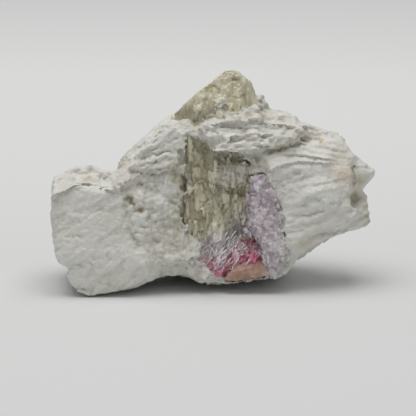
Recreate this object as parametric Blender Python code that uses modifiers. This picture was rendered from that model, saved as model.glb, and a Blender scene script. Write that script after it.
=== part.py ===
"""Watermelon tourmaline crystal grown in a loose piece of albite, at real size (metres, +Z up).

The specimen's broad face looks along -Y. Its forms are laid out on that face in millimetres: across it (to
the right), up it, and into the stone (0 near the middle, negative towards the front). The whole piece is then
leaned back the way it rests, and flattened where it touches the table.
"""

import math

import bmesh
import bpy
import numpy as np
from mathutils import Euler, Matrix, Vector, noise

NAME = "watermelon_tourmaline"
MM = 0.001

LEAN_BACK = math.radians(12.0)  # the broad face leans back by this when the piece rests
GAP = 0.3  # clearance between pieces that touch, mm
ROCK_GRAIN = 0.7  # size of the grid that fuses the chips of the stone, mm
ROCK_RELIEF = 0.3  # how far weathering moves the stone's skin, mm
ROCK_TRIANGLES = 7300
SEAM_TRIANGLES = 700
TABLE_WIDTH = 200.0  # wider than the piece, mm

# The tourmaline: a stout striated column.
CRYSTAL_RADIUS = 10.2
STRIATIONS = 21  # ridges along the column
STRIATION_DEPTH = 0.25
THREE_SIDED = 0.05  # how far the section goes from round towards a triangle
CRYSTAL_FOOT = (2.6, 2.4)  # middle of the foot: across, up
CRYSTAL_HEAD = (-0.2, 56.0)  # a point of the axis above the tip
CRYSTAL_DEPTH = 0.4  # the axis lies this far into the stone
CRYSTAL_FRONT = -5.4  # the crystal's front is split off here
COLUMN_LENGTH = 110.0  # of the whole column, before its tip and foot are cut
# Narrow split ends across its front: how many, and where they stand, in mm across and up.
SPLINTER_COUNT = 9
SPLINTER_SPAN = (-7.2, 7.8)
SPLINTER_HEIGHTS = (11.5, 31.0)
SPLINTER_LENGTH = 8.0  # the shortest
SPLINTER_WIDTHS = (1.0, 1.9)
SPLINTER_SLANT = 0.13  # how far they lean across per mm of height
SPLINTER_ROOT = 1.5  # how deep each is rooted in the crystal
# Each face of its tip, front and foot: a point on it, and the way it looks (across, up, into).
CRYSTAL_FACES = [
    (0.0, 51.1, 0.0, (-0.63, 0.77, 0.04)),
    (4.0, 53.6, 0.0, (0.12, 1.0, 0.1)),
    (7.0, 52.5, 0.0, (0.55, 0.8, 0.0)),
    (9.3, 49.6, 4.0, (0.93, 0.36, 0.0)),
    (2.0, 52.0, 3.0, (0.1, 0.8, 0.62)),
    (6.0, 47.0, 9.6, (0.5, 0.3, 0.9)),
    (0.0, 30.0, CRYSTAL_FRONT, (0.0, 0.0, -1.0)),
    (0.0, 48.0, CRYSTAL_FRONT + 1.4, (0.05, 0.3, -1.0)),
    (-6.0, 46.0, -3.6, (-0.75, 0.2, -0.8)),
    (7.6, 46.0, -3.4, (0.8, 0.1, -0.7)),
    (4.0, 2.6, -5.0, (0.05, -1.0, 0.4)),
    (-2.8, 5.0, 0.0, (-0.8, -0.6, 0.1)),
    (12.2, 6.0, 0.0, (1.0, -0.1, 0.0)),
]
# Broad slabs on its broken front: outline, front and lean.
CRYSTAL_SLABS = [
    ([(0.2, 25.2), (0.0, 31.2), (3.0, 32.0), (8.6, 31.0), (9.2, 25.6), (5.0, 24.9)], -6.9, (0.05, 0.03)),
    ([(-3.4, 12.4), (-2.6, 20.6), (-1.0, 24.2), (2.6, 23.6), (4.0, 17.0), (3.0, 12.6)], -6.2, (0.1, 0.04)),
    ([(0.2, 3.2), (0.4, 7.6), (3.0, 8.6), (5.6, 12.2), (8.4, 12.8), (11.8, 11.0), (11.6, 7.6), (6.0, 5.2)],
     -6.5, (0.0, 0.05)),
]

# The peach slab under the foot.
SLAB_OUTLINE = [(2.6, 2.3), (5.3, 2.1), (10.3, 2.9), (13.4, 3.4), (13.9, 5.6), (12.8, 7.8), (10.8, 7.2),
                (6.5, 6.0), (4.6, 4.5)]
SLAB_FRONT = -8.0
SLAB_BACK = -3.5
SLAB_CREST = (9.0, 4.9)  # its lit upper edge passes here
SLAB_SLOPE = (-0.14, 0.72, -0.68)  # the way its top face looks

# The mica seam on the crystal's right flank.
SEAM_OUTLINE = [(9.6, 27.4), (12.4, 28.6), (14.6, 26.0), (16.4, 22.0), (17.8, 17.5), (18.2, 12.0),
                (17.8, 7.5), (16.8, 4.4), (14.8, 3.2), (13.4, 6.0), (12.6, 11.0), (10.6, 13.5), (9.3, 18.0),
                (9.0, 23.0)]
SEAM_FRONT = -7.9
SEAM_BACK = -3.0
SEAM_TOP = (12.0, 26.0)
SEAM_END = (15.4, 6.0)
SEAM_GRAINS = 30


def place(across, up, into):
    """A point of the broad face's layout, in metres, before the piece is leaned back."""
    return Vector((across, into, up)) * MM


def add_to(stone, extra):
    """Joins one closed shape to the others of a heap, still as a body of its own."""
    mesh = bpy.data.meshes.new("shape")
    extra.to_mesh(mesh)
    extra.free()
    stone.from_mesh(mesh)
    bpy.data.meshes.remove(mesh)


def chip(stone, outline, front, back, lean=(0.0, 0.0), shrink=1.0, rounded=0.5, shift=(0.0, 0.0)):
    """Adds one broken block: an outline on the broad face, carried back into the stone.

    lean is how fast its front runs back per mm across and up; shrink and shift are for the far end.
    """
    block = bmesh.new()
    middle = np.mean(outline, axis=0)
    near = []
    for across, up in outline:
        into = front + lean[0] * (across - middle[0]) + lean[1] * (up - middle[1])
        near.append(block.verts.new(place(across, up, into)))
    face = block.faces.new(near)
    grown = bmesh.ops.extrude_face_region(block, geom=[face])["geom"]
    for vert in grown:
        if isinstance(vert, bmesh.types.BMVert):
            across = middle[0] + (vert.co.x / MM - middle[0]) * shrink + shift[0]
            up = middle[1] + (vert.co.z / MM - middle[1]) * shrink + shift[1]
            vert.co = place(across, up, back)
    bmesh.ops.recalc_face_normals(block, faces=block.faces[:])
    if rounded:
        bmesh.ops.bevel(
            block, geom=block.edges[:], offset=rounded * MM, offset_type="OFFSET", segments=1, profile=0.5,
            affect="EDGES", clamp_overlap=True, material=-1,
        )
    add_to(stone, block)


def lump(stone, centre, radii, turn=0.0, detail=3):
    """Adds one rounded mass: an ellipsoid turned in the plane of the broad face."""
    mass = bmesh.new()
    bmesh.ops.create_icosphere(mass, subdivisions=detail, radius=1.0)
    size = Matrix.Diagonal((radii[0] * MM, radii[2] * MM, radii[1] * MM, 1.0))
    spin = Matrix.Rotation(math.radians(-turn), 4, "Y")
    bmesh.ops.transform(mass, matrix=Matrix.Translation(place(*centre)) @ spin @ size, verts=mass.verts[:])
    add_to(stone, mass)


def blade(stone, start, end, width, thick, roll=0.0):
    """Adds one long flat blade between two points, rolled about its length, its end cut square."""
    body = bmesh.new()
    bmesh.ops.create_cube(body, size=1.0)
    run = place(*end) - place(*start)
    size = Matrix.Diagonal((run.length, width * MM, thick * MM, 1.0))
    along = Vector((1, 0, 0)).rotation_difference(run.normalized()).to_matrix().to_4x4()
    turn = Matrix.Rotation(math.radians(roll), 4, "X")
    middle = (place(*start) + place(*end)) / 2
    bmesh.ops.transform(body, matrix=Matrix.Translation(middle) @ along @ turn @ size, verts=body.verts[:])
    bmesh.ops.recalc_face_normals(body, faces=body.faces[:])
    add_to(stone, body)


def grains(stone, low, high, front, sizes, count, seed, lean=(0.0, 0.0)):
    """Scatters small blocky grains over a stretch of the face, each turned its own way."""
    random = np.random.default_rng(seed)
    for _ in range(count):
        across, up = random.uniform(low, high)
        into = front + lean[0] * (across - low[0]) + lean[1] * (up - low[1]) + random.uniform(-0.5, 0.5)
        grain = bmesh.new()
        bmesh.ops.create_cube(grain, size=1.0)
        turn = Euler(tuple(random.uniform(-0.6, 0.6, 3))).to_matrix().to_4x4()
        size = Matrix.Diagonal((*(random.uniform(*sizes, 3) * MM), 1.0))
        bmesh.ops.transform(
            grain, matrix=Matrix.Translation(place(across, up, into)) @ turn @ size, verts=grain.verts[:],
        )
        add_to(stone, grain)


def left_block(stone):
    """The cleavage block at the left, with its stepped top and the lobed foot under it."""
    chip(
        stone, front=-12.0, back=13.0, lean=(0.02, 0.05), shrink=0.94,
        outline=[(-40.3, 24.5), (-40.6, 17), (-40.1, 11.4), (-39.3, 10.4), (-39.0, 6.2), (-36.6, 5.4),
                 (-28, 4), (-16, 4), (-15, 14), (-17, 24)],
    )
    # four ledges step back to its top
    chip(
        stone, front=-10.2, back=12.0, shrink=0.95, rounded=0.3,
        outline=[(-40.5, 26.5), (-40.4, 20), (-28, 20), (-23, 22), (-23.5, 24.4), (-27, 25), (-30, 25.4)],
    )
    chip(
        stone, front=-11.2, back=2.0, rounded=0.2,
        outline=[(-35.4, 25.8), (-35.4, 22), (-31.7, 22), (-31.7, 25.6)],
    )
    chip(
        stone, front=-5.6, back=11.0, lean=(0.05, 0.1), shrink=0.95, rounded=0.3,
        outline=[(-40.3, 28.0), (-40.3, 22), (-27.5, 22), (-27, 26.5), (-30.5, 28.0), (-35, 28.6)],
    )
    chip(
        stone, front=1.0, back=10.0, rounded=0.4,
        outline=[(-37.8, 29.3), (-38, 25), (-27.5, 24), (-28, 29.4), (-30.4, 31.0), (-34.8, 30.4)],
    )
    # a grey chip at its inner corner
    chip(
        stone, front=-6.8, back=8.0, rounded=0.3,
        outline=[(-28.5, 29.2), (-28.5, 23), (-24.9, 23), (-25.0, 29.2), (-26.7, 29.7)],
    )
    # the foot and its inner knob
    chip(
        stone, front=-11.4, back=5.0, lean=(0.0, -0.12), shrink=0.9, rounded=1.2,
        outline=[(-37.1, 3.3), (-36.2, 4.6), (-30, 8), (-22, 8), (-18.8, 0.9), (-23.9, -1.0), (-30.1, -2.2),
                 (-32.2, -1.9), (-34.5, -0.2), (-36, 1.5)],
    )
    lump(stone, (-21.5, 4.4, -6.4), (7.8, 4.6, 5.6), turn=8)
    chip(
        stone, front=-9.6, back=3.0, rounded=1.0,
        outline=[(-28, 0.5), (-25, 6), (-14, 7), (-12.6, 2.8), (-18.8, 0.9), (-23, -0.6)],
    )


def middle(stone):
    """The granular middle between the block and the crystal, and the keel that the piece rests on."""
    chip(
        stone, front=-9.0, back=20.0, lean=(0.08, 0.1), shrink=0.9, rounded=0.9,
        outline=[(-22, 24), (-22, 8), (-13, 5.8), (-5, 6.0), (-7.0, 12), (-8.0, 16), (-7.7, 30), (-6.9, 38),
                 (-12, 36), (-19, 30)],
    )
    lump(stone, (-16.0, 12.5, -4.6), (7.6, 6.0, 5.8), turn=-25)
    lump(stone, (-13.5, 21.0, -4.4), (6.0, 3.6, 5.2), turn=15)
    grains(stone, (-21, 8), (-10, 29), -9.4, (1.6, 3.8), 42, 11, lean=(0.06, 0.08))
    # albite over the crystal's lower left corner
    chip(
        stone, front=-7.8, back=6.0, lean=(0.12, 0.1), rounded=0.6,
        outline=[(-8.8, 15.2), (-12, 12), (-12, 5.8), (-3.2, 5.8), (-3.4, 8.5), (-3.0, 11.6), (-5.5, 13.4)],
    )
    # albite against the crystal's upper right flank
    chip(
        stone, front=-7.4, back=3.0, lean=(0.1, 0.2), rounded=0.4,
        outline=[(8.8, 34.0), (9.0, 27.4), (11.4, 28.0), (13.6, 29.5), (14.0, 34.8)],
    )
    # keel and its overhanging front rim
    chip(
        stone, front=-3.6, back=23.0, shrink=0.92, rounded=1.0,
        outline=[(-13, 3.6), (-7.6, 3.0), (-2, 1.4), (-0.3, 0.9), (5.3, 1.2), (10.3, 2.1), (15.9, 2.8),
                 (19.3, 5.2), (20, 12), (-13, 12)],
    )
    chip(
        stone, front=-6.4, back=2.0, rounded=0.4,
        outline=[(-12.6, 5.6), (-13, 3.0), (-10.4, 3.3), (-7.6, 2.7), (-4.3, 2.5), (-2, 1.3), (-0.3, 0.9),
                 (5.3, 1.2), (10.3, 2.1), (15.9, 2.6), (19.4, 5.0), (16, 5.4), (13.6, 4.4), (9, 3.6),
                 (2.4, 3.2), (-1.8, 4.6), (-3.0, 6.2)],
    )
    lump(stone, (-2.2, 3.4, -4.8), (4.6, 2.4, 3.2), turn=-14)
    grains(stone, (-12, 2.8), (-4, 6.5), -6.6, (1.4, 2.8), 10, 12)
    # stone behind the crystal, tapering to the back in broken steps
    chip(
        stone, front=2.0, back=22.0, shrink=0.68, rounded=1.2, shift=(0.0, -1.0),
        outline=[(-20, 30), (-21, 6), (-10, 2), (14, 2), (24, 8), (32, 16), (31, 30), (20, 38), (8, 44),
                 (-6, 43), (-15, 38)],
    )
    chip(
        stone, front=10.0, back=28.0, shrink=0.72, rounded=1.0, shift=(-1.0, -3.0),
        outline=[(-16, 22), (-12, 6), (10, 4), (18, 12), (15, 26), (2, 33), (-10, 31)],
    )
    chip(
        stone, front=6.0, back=17.5, shrink=0.85, rounded=0.8, shift=(2.0, -2.0),
        outline=[(-13, 39), (-18, 28), (0, 24), (12, 30), (10, 44), (-4, 44.0)],
    )
    chip(
        stone, front=8.0, back=21.0, shrink=0.8, rounded=0.8, shift=(-2.0, -3.0),
        outline=[(6, 40), (6, 22), (26, 18), (29, 30), (20, 38)],
    )


def back(stone):
    """The hidden side: cleavage steps and blades that carry the block's and the wedge's layering round."""
    # steps behind the block, and the web between it and the middle
    chip(
        stone, front=-4.0, back=14.5, shrink=0.96, rounded=0.6,
        outline=[(-26, 25.5), (-26, 6), (-12, 6), (-12, 28)],
    )
    chip(
        stone, front=8.0, back=15.5, shrink=0.94, rounded=0.4,
        outline=[(-38, 21), (-38, 9), (-24, 8), (-23, 22)],
    )
    chip(
        stone, front=8.0, back=17.0, shrink=0.9, rounded=0.4,
        outline=[(-36, 24), (-33, 15), (-26, 14), (-26, 24)],
    )
    # the rearmost step, down to the table
    chip(
        stone, front=14.0, back=25.6, shrink=0.86, rounded=0.8, shift=(-0.6, -1.0),
        outline=[(-15, 25), (-15, 1), (-4, -2), (12, 2), (18, 10), (20, 20), (8, 28)],
    )
    # albite that sheathes the crystal behind its tip
    chip(
        stone, front=7.0, back=15.0, lean=(0.0, 0.3), rounded=0.3,
        outline=[(-9.6, 43.0), (-7.0, 45.0), (-2.6, 46.0), (0.5, 44.4), (1.0, 36), (-9, 36)],
    )
    chip(
        stone, front=9.6, back=14.2, lean=(0.0, 0.3), rounded=0.3,
        outline=[(-1.0, 46.4), (3.0, 47.6), (6.4, 47.0), (8.0, 44.0), (8.0, 36), (-1, 36)],
    )
    chip(
        stone, front=6.0, back=15.6, lean=(0.0, 0.3), rounded=0.3,
        outline=[(6.0, 46.0), (9.6, 47.4), (13.0, 45.8), (14.4, 42.0), (12, 36), (5, 36)],
    )
    grains(stone, (-8, 40), (10, 45), 14.6, (1.2, 3.0), 12, 16)
    # blades that wrap the back
    blade(stone, (-14.0, 9.0, 24.5), (6.0, 15.0, 27.5), 9.0, 2.2, roll=76)
    blade(stone, (-13.0, 18.0, 24.0), (9.0, 23.0, 25.5), 7.0, 2.0, roll=68)
    blade(stone, (4.0, 12.0, 24.5), (24.0, 20.0, 19.0), 8.0, 2.4, roll=80)
    blade(stone, (6.0, 24.0, 21.5), (26.0, 27.0, 16.0), 8.0, 2.0, roll=70)
    blade(stone, (12.0, 34.0, 17.5), (28.0, 32.0, 13.5), 6.0, 1.8, roll=64)
    blade(stone, (-18.0, 33.0, 10.5), (-4.0, 41.0, 14.5), 6.0, 1.8, roll=62)
    grains(stone, (-10, 8), (0, 22), 25.4, (2.0, 4.2), 14, 15)


def blades(stone):
    """The stacked blades that lean against the crystal at the upper left."""
    chip(
        stone, front=-10.6, back=6.0, lean=(-0.3, 0.5), rounded=0.2,
        outline=[(-25.3, 25.4), (-24, 28.2), (-22.2, 29.3), (-20.4, 28.4), (-20.2, 27.2), (-22, 25.7),
                 (-23.8, 24.8)],
    )
    chip(
        stone, front=-9.4, back=8.0, lean=(0.05, 0.1), rounded=0.2,
        outline=[(-21.7, 30.0), (-20, 31.4), (-17.8, 32.2), (-15.4, 32.6), (-10, 34), (-9, 30), (-13, 29.5),
                 (-17, 29), (-21, 28.6)],
    )
    chip(
        stone, front=-8.2, back=8.0, lean=(0.06, 0.1), rounded=0.2,
        outline=[(-18.3, 34.3), (-15.5, 36.0), (-12, 39.4), (-10.6, 40.6), (-7.6, 38.6), (-6.6, 37.6),
                 (-6.8, 34.4), (-9.8, 34.3), (-13.5, 32.9), (-17.4, 32.5)],
    )
    # the lit slopes above them run back to the crest
    chip(
        stone, front=-3.8, back=9.0, lean=(-0.45, 0.75), rounded=0.3,
        outline=[(-24.6, 29.9), (-21.7, 34.4), (-19.4, 36.0), (-15.0, 36.5), (-14.5, 30), (-21, 27)],
    )
    chip(
        stone, front=-3.2, back=9.0, lean=(-0.35, 0.75), rounded=0.3,
        outline=[(-20.3, 33.4), (-19.4, 36.2), (-14.6, 40.6), (-10.6, 43.7), (-7.0, 42.6), (-7, 37),
                 (-13, 33)],
    )
    blade(stone, (-23.4, 28.8, -6.4), (-10.4, 39.0, -5.2), 4.2, 1.6, roll=35)
    blade(stone, (-21.0, 31.8, -4.2), (-9.6, 41.4, -3.4), 3.8, 1.5, roll=38)
    blade(stone, (-20.0, 33.8, -0.6), (-9.4, 42.2, 0.4), 4.4, 1.3, roll=42)


def crust(stone):
    """The white crust folded over the crystal's front, below its tip."""
    chip(
        stone, front=-7.4, back=2.0, lean=(0.0, 0.35), rounded=0.3,
        outline=[(-10.0, 41.4), (-7.4, 42.6), (-5.6, 41.6), (-4.6, 40.4), (-2.4, 42.0), (0.2, 42.5),
                 (2.6, 41), (3.0, 38), (-0.6, 35.0), (-1.6, 36.1), (-5.6, 37.6), (-7.8, 39.0)],
    )
    chip(
        stone, front=-8.8, back=0.0, lean=(0.1, 0.3), rounded=0.3,
        outline=[(-4.4, 39.8), (-2.6, 41.2), (0.4, 39.9), (2.6, 38.0), (1.2, 36.6), (-1.6, 37.4)],
    )
    chip(
        stone, front=-5.9, back=8.0, lean=(0.05, 0.45), rounded=0.4,
        outline=[(0.4, 42.6), (0.8, 44.6), (2.2, 46.0), (4.4, 45.7), (6.6, 44.6), (9.8, 46.4), (12.4, 43),
                 (12, 38), (2, 38)],
    )
    grains(stone, (0.5, 40), (9, 44.5), -6.6, (1.0, 2.4), 12, 13, lean=(0.0, 0.2))
    # the lens-shaped plate that runs out to the right
    chip(
        stone, front=-9.4, back=4.0, lean=(0.12, 0.3), rounded=0.3,
        outline=[(-1.2, 34.2), (1.0, 36.0), (2.8, 37.4), (5.4, 38.5), (10, 38.7), (16, 38.6), (20, 38.2),
                 (21.6, 37.3), (20.6, 36.4), (17, 35.3), (12.6, 34.4), (8, 33.4), (3, 33.3)],
    )


def right_wedge(stone):
    """The foliated plates that make the right-hand wedge, from its crest to its overhanging underside."""
    chip(
        stone, front=-6.6, back=6.0, lean=(0.1, 0.45), rounded=0.3,
        outline=[(5.2, 38.2), (6, 40), (10, 41.4), (14.5, 41.5), (20, 41), (22.4, 39.9), (22.4, 38.4),
                 (20, 37)],
    )
    chip(
        stone, front=-2.2, back=9.0, lean=(0.08, 0.5), rounded=0.3,
        outline=[(9.5, 43.6), (14, 44.2), (19, 43.4), (23.3, 41.0), (23.5, 38), (10, 38)],
    )
    chip(
        stone, front=4.0, back=14.0, shrink=0.92, rounded=0.4,
        outline=[(9.0, 46), (9.8, 48.5), (11.7, 48.8), (13.1, 47.4), (13.9, 45.5), (17, 44.9), (21, 42.9),
                 (23.6, 40.9), (20, 36), (9, 38)],
    )
    # plates below the dark crack, out to the shoulder
    chip(
        stone, front=-5.2, back=12.0, lean=(0.25, 0.35), rounded=0.3,
        outline=[(12, 33.7), (18, 35.0), (22.5, 36.2), (26.4, 35.9), (27.0, 37.3), (31.0, 37.6),
                 (33.4, 35.2), (35.5, 33.2), (35, 29), (14, 30)],
    )
    chip(
        stone, front=-0.8, back=12.0, lean=(0.15, 0.3), rounded=0.2,
        outline=[(21.6, 41.6), (23.6, 41.0), (28.9, 39.4), (31.8, 38.0), (33.5, 36.0), (32, 33), (21, 35)],
    )
    chip(
        stone, front=-8.0, back=8.0, lean=(0.12, 0.45), rounded=0.2,
        outline=[(13.2, 32.4), (18.0, 32.9), (24, 33.0), (28.2, 32.6), (28.8, 31.2), (29, 29), (13, 29)],
    )
    # the broad convex plate, crisp along its top and its overhanging lower edge
    chip(
        stone, front=-7.8, back=9.0, lean=(0.2, 0.03), rounded=0.5,
        outline=[(12.6, 27.6), (13.8, 30.4), (15.6, 31.2), (21, 31.7), (26.4, 31.2), (30.2, 30.4),
                 (34.3, 30.0), (34.8, 26), (33.9, 23), (36.5, 18.9), (35, 17.8), (32.4, 16), (28.5, 15),
                 (24, 13.2), (20.4, 10.8), (18.2, 9.0), (18.0, 13), (16.6, 20)],
    )
    lump(stone, (23.6, 22.6, -3.2), (10.6, 9.2, 6.6), turn=4)
    lump(stone, (27.6, 19.4, -2.2), (9.0, 3.9, 5.6), turn=26)
    blade(stone, (17.0, 14.6, -8.6), (33.6, 20.6, -6.2), 2.4, 1.2, roll=-20)
    blade(stone, (17.6, 12.2, -8.2), (30.6, 17.0, -7.0), 2.6, 1.3, roll=-25)
    # underside, broken end and back of the wedge
    chip(
        stone, front=-3.4, back=12.0, lean=(0.26, 0.0), shrink=0.92, rounded=0.4,
        outline=[(36.6, 19.6), (39.1, 18.6), (39.2, 16.0), (37.6, 15.2), (34.8, 14.3), (29.8, 12.9),
                 (26.6, 11.3), (23.2, 9.4), (19.9, 7.1), (17, 9), (24, 18)],
    )
    chip(
        stone, front=-5.6, back=10.0, lean=(0.12, -0.1), rounded=0.6,
        outline=[(16, 5.4), (19.6, 5.2), (20.4, 7.6), (23, 9.8), (27, 12.6), (22, 14.6), (16, 12)],
    )
    # its broken tip, in two prongs with ochre grains between
    chip(
        stone, front=-0.6, back=9.0, lean=(0.3, 0.1), shrink=0.9, rounded=0.4,
        outline=[(33.8, 33.5), (35.6, 33.3), (38.4, 30.8), (40.6, 29.5), (40.0, 27.9), (38.4, 26.2),
                 (37.3, 24.7), (33, 24)],
    )
    chip(
        stone, front=-2.2, back=4.0, lean=(0.35, 0.0), rounded=0.3,
        outline=[(35.0, 29.8), (37.4, 30.4), (39.6, 28.6), (38.2, 26.4), (35.2, 25.6)],
    )
    chip(
        stone, front=1.2, back=10.0, lean=(0.2, 0.0), shrink=0.9, rounded=0.4,
        outline=[(33, 25), (37.4, 23.9), (39.0, 22.9), (38.2, 21.1), (38.9, 18.8), (39.1, 16.5), (33, 16)],
    )
    grains(stone, (33.5, 17.5), (37.5, 27), 0.4, (1.4, 2.8), 14, 14)
    chip(
        stone, front=0.0, back=17.0, shrink=0.8, rounded=1.0, shift=(-2.0, 0.0),
        outline=[(12, 38), (12, 14), (24, 12), (34, 17), (35, 27), (31, 34), (24, 38)],
    )


def pits():
    """Hollows broken out of the stone: the arch under it, the slot beside the crystal and small cavities."""
    holes = []
    for outline, front, back in (
        ([(-19.5, -8), (-18.2, 0.9), (-12.4, 3.3), (-5.2, 2.4), (-3.6, 0.2), (-3.6, -8)], -20.0, 40.0),
        ([(-7.5, 32.6), (-7.3, 37.9), (-6.4, 38.2), (-6.2, 33.0)], -20.0, 3.0),
        ([(-21.6, 22.6), (-20.2, 22.8), (-19.8, 20.4), (-20.8, 20.2)], -20.0, -5.6),
        ([(-19.4, 19.2), (-18.4, 20.0), (-16.4, 19.9), (-17.4, 18.8)], -20.0, -6.4),
        ([(33.6, 20.2), (33.8, 24.2), (36.4, 24.4), (37.0, 21.0), (35.4, 19.4)], -20.0, 0.2),
        ([(34.1, 25.4), (34.3, 30.0), (34.9, 30.0), (35.0, 25.4)], -20.0, 0.8),
    ):
        hole = bmesh.new()
        chip(hole, outline, front, back, rounded=0.0)
        holes.append(hole)
    return holes


def crystal_axis(up):
    """Where the crystal's axis crosses a height on the broad face."""
    share = (up - CRYSTAL_FOOT[1]) / (CRYSTAL_HEAD[1] - CRYSTAL_FOOT[1])
    return CRYSTAL_FOOT[0] + share * (CRYSTAL_HEAD[0] - CRYSTAL_FOOT[0])


def shear_off(body, at, away):
    """Splits a closed shape along a plane and closes the cut. away points at what is lost."""
    cut = bmesh.ops.bisect_plane(
        body, geom=body.verts[:] + body.edges[:] + body.faces[:],
        plane_co=at, plane_no=away, clear_outer=True,
    )
    rim = [edge for edge in cut["geom_cut"] if isinstance(edge, bmesh.types.BMEdge)]
    bmesh.ops.holes_fill(body, edges=rim)


def crystal(grow):
    """The tourmaline: a striated column with faces at its tip, its front split off and its foot broken.

    grow makes it bigger all round, for the pocket that it leaves in the stone.
    """
    column = bmesh.new()
    bmesh.ops.create_cone(column, cap_ends=True, segments=STRIATIONS * 2, radius1=1.0, radius2=1.0, depth=1.0)
    for vert in column.verts:
        turn = math.atan2(vert.co.y, vert.co.x)
        ridge = STRIATION_DEPTH if round(turn / math.pi * STRIATIONS) % 2 else 0.0
        radius = CRYSTAL_RADIUS * (1.0 + THREE_SIDED * math.cos(3.0 * turn + math.pi / 2)) - ridge + grow
        vert.co = Vector((vert.co.x * radius * MM, vert.co.y * radius * MM, vert.co.z * COLUMN_LENGTH * MM))
    run = place(CRYSTAL_HEAD[0] - CRYSTAL_FOOT[0], CRYSTAL_HEAD[1] - CRYSTAL_FOOT[1], 0.0).normalized()
    lean = Vector((0, 0, 1)).rotation_difference(run).to_matrix().to_4x4()
    halfway = (CRYSTAL_FOOT[1] + CRYSTAL_HEAD[1]) / 2
    centre = place(crystal_axis(halfway), halfway, CRYSTAL_DEPTH)
    bmesh.ops.transform(column, matrix=Matrix.Translation(centre) @ lean, verts=column.verts[:])
    for across, up, into, away in CRYSTAL_FACES:
        out = place(*away).normalized()
        shear_off(column, place(across, up, into) + out * grow * MM, out)
    return column


def splinters():
    """What stands on the crystal's broken front: its broad slabs, and narrow split ends that slant."""
    random = np.random.default_rng(21)
    ends = list(CRYSTAL_SLABS)
    for across in np.linspace(*SPLINTER_SPAN, SPLINTER_COUNT):
        low, high = sorted(random.uniform(*SPLINTER_HEIGHTS, 2))
        high = max(high, low + SPLINTER_LENGTH)
        width = random.uniform(*SPLINTER_WIDTHS)
        foot = across + SPLINTER_SLANT * (high - low)
        outline = [(foot, low), (across, high - 1.5), (across + width * 0.4, high),
                   (across + width, high - 1.0), (foot + width, low + 0.8)]
        ends.append((outline, CRYSTAL_FRONT - random.uniform(0.4, 0.7), (0.15, 0.0)))
    return ends


def widened(outline, grow):
    """An outline made bigger by grow on every side."""
    low, high = np.min(outline, axis=0), np.max(outline, axis=0)
    centre = (low + high) / 2
    scale = 1.0 + 2.0 * grow / (high - low)
    return [tuple(centre + (np.array(point) - centre) * scale) for point in outline]


def splinter(outline, front, lean, grow):
    """One flat slab or split end, standing on the crystal's broken front."""
    piece = bmesh.new()
    chip(piece, widened(outline, grow), front - grow, CRYSTAL_FRONT + SPLINTER_ROOT, lean=lean, rounded=0.0)
    return piece


def slab(grow):
    """The peach feldspar slab under the pink foot: an upright front edge and a top face that slopes back."""
    piece = bmesh.new()
    chip(piece, widened(SLAB_OUTLINE, grow), SLAB_FRONT - grow, SLAB_BACK + grow, rounded=0.0)
    away = place(*SLAB_SLOPE).normalized()
    shear_off(piece, place(*SLAB_CREST, SLAB_FRONT) + away * grow * MM, away)
    return piece


def seam():
    """The lilac mica seam on the crystal's right flank: a crust of coarse grains."""
    heap = bmesh.new()
    chip(heap, SEAM_OUTLINE, SEAM_FRONT, SEAM_BACK, lean=(0.04, 0.02), rounded=0.5)
    random = np.random.default_rng(5)
    for grain in range(SEAM_GRAINS):
        share = grain / (SEAM_GRAINS - 1)
        up = SEAM_TOP[1] + share * (SEAM_END[1] - SEAM_TOP[1]) + random.uniform(-1.0, 1.0)
        across = SEAM_TOP[0] + share * (SEAM_END[0] - SEAM_TOP[0]) + random.uniform(-2.4, 2.4)
        size = random.uniform(0.9, 1.9)
        turn = random.uniform(-40, 40)
        lump(heap, (across, up, SEAM_FRONT + 0.3), (size, size * 1.3, 1.0), turn=turn, detail=2)
    return heap


def object_from(shape, name, collection):
    """Puts a finished shape in the file as an object at the origin."""
    mesh = bpy.data.meshes.new(name)
    shape.to_mesh(mesh)
    shape.free()
    item = bpy.data.objects.new(name, mesh)
    collection.objects.link(item)
    return item


def baked(item):
    """Replaces an object's mesh by what its modifiers make of it."""
    bpy.context.view_layer.update()
    graph = bpy.context.evaluated_depsgraph_get()
    mesh = bpy.data.meshes.new_from_object(item.evaluated_get(graph))
    old = item.data
    item.modifiers.clear()
    item.data = mesh
    bpy.data.meshes.remove(old)


def fuse(item, grain):
    """Fuses a heap of overlapping chips into one closed skin."""
    remesh = item.modifiers.new("fuse", "REMESH")
    remesh.mode = "VOXEL"
    remesh.voxel_size = grain * MM
    baked(item)


def carve(item, cutter, operation="DIFFERENCE"):
    """Cuts an object by a cutter, or joins the two."""
    cut = item.modifiers.new("cut", "BOOLEAN")
    cut.operation = operation
    cut.object = cutter
    cut.solver = "EXACT"
    baked(item)


def thin(item, triangles):
    """Brings a skin down to about so many triangles."""
    now = sum(len(face.vertices) - 2 for face in item.data.polygons)
    decimate = item.modifiers.new("thin", "DECIMATE")
    decimate.ratio = triangles / now
    decimate.use_collapse_triangulate = True
    baked(item)


def swell(item, by):
    """Moves a skin outwards along its normals."""
    displace = item.modifiers.new("swell", "DISPLACE")
    displace.mid_level = 0.0
    displace.strength = by * MM
    baked(item)


def weather(item, strength, seed):
    """Roughens a skin along its normals with coarse and fine relief."""
    shape = bmesh.new()
    shape.from_mesh(item.data)
    shape.normal_update()
    offset = Vector((seed * 3.1, seed * 1.7, seed * 0.9))
    moves = []
    for vert in shape.verts:
        point = vert.co / MM
        coarse = noise.fractal(point / 7.0 + offset, 1.0, 2.0, 3)
        fine = noise.fractal(point / 2.4 - offset, 0.8, 2.1, 2)
        moves.append(vert.normal * (coarse * strength + fine * strength * 0.5) * MM)
    for vert, move in zip(shape.verts, moves):
        vert.co += move
    shape.to_mesh(item.data)
    shape.free()


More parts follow.
